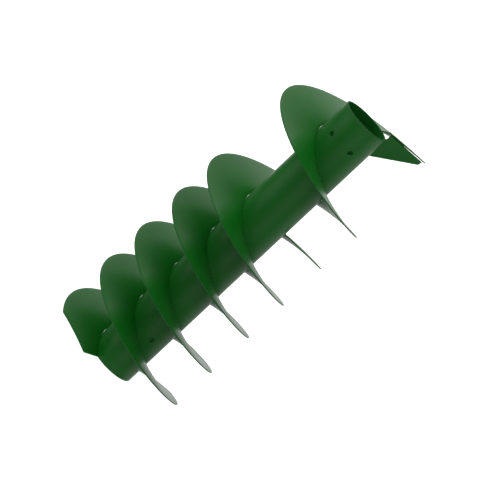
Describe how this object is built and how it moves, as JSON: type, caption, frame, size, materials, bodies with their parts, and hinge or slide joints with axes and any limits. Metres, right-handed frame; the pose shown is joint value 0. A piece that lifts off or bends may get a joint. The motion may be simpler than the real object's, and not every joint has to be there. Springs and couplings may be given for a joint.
{
  "type": "double-flight auger section",
  "caption": "Left-hand double-flight auger section: a drilled tube with a long and a short helical flight and a gusset at the free flight end.",
  "frame": {"origin": "centre of the tube's bore in the plane of the plain end", "axes": "+Z along the tube towards the drive end that carries the gusset, +X through one bolt hole of each end"},
  "size_m": [0.258, 0.258, 0.6121],
  "materials": {
    "tube_paint": "satin green paint",
    "flight_paint": "satin green paint",
    "gusset_paint": "satin green paint",
    "weld_paint": "satin green paint over a weld bead"
  },
  "bodies": {
    "root": {"core_tube": "tube_paint", "flight_a_1": "flight_paint", "flight_a_2": "flight_paint", "flight_a_3": "flight_paint", "flight_a_4": "flight_paint", "flight_b_1": "flight_paint", "flight_b_2": "flight_paint", "flight_b_3": "flight_paint", "seam_weld_a_1": "weld_paint", "seam_weld_a_2": "weld_paint", "seam_weld_a_3": "weld_paint", "seam_weld_b_1": "weld_paint", "seam_weld_b_2": "weld_paint", "stitch_welds_a_1": "weld_paint", "stitch_welds_a_2": "weld_paint", "stitch_welds_a_3": "weld_paint", "stitch_welds_a_4": "weld_paint", "stitch_welds_b_1": "weld_paint", "stitch_welds_b_2": "weld_paint", "stitch_welds_b_3": "weld_paint", "end_gusset": "gusset_paint", "gusset_root_weld": "weld_paint", "gusset_flight_weld": "weld_paint"}
  },
  "joints": []
}
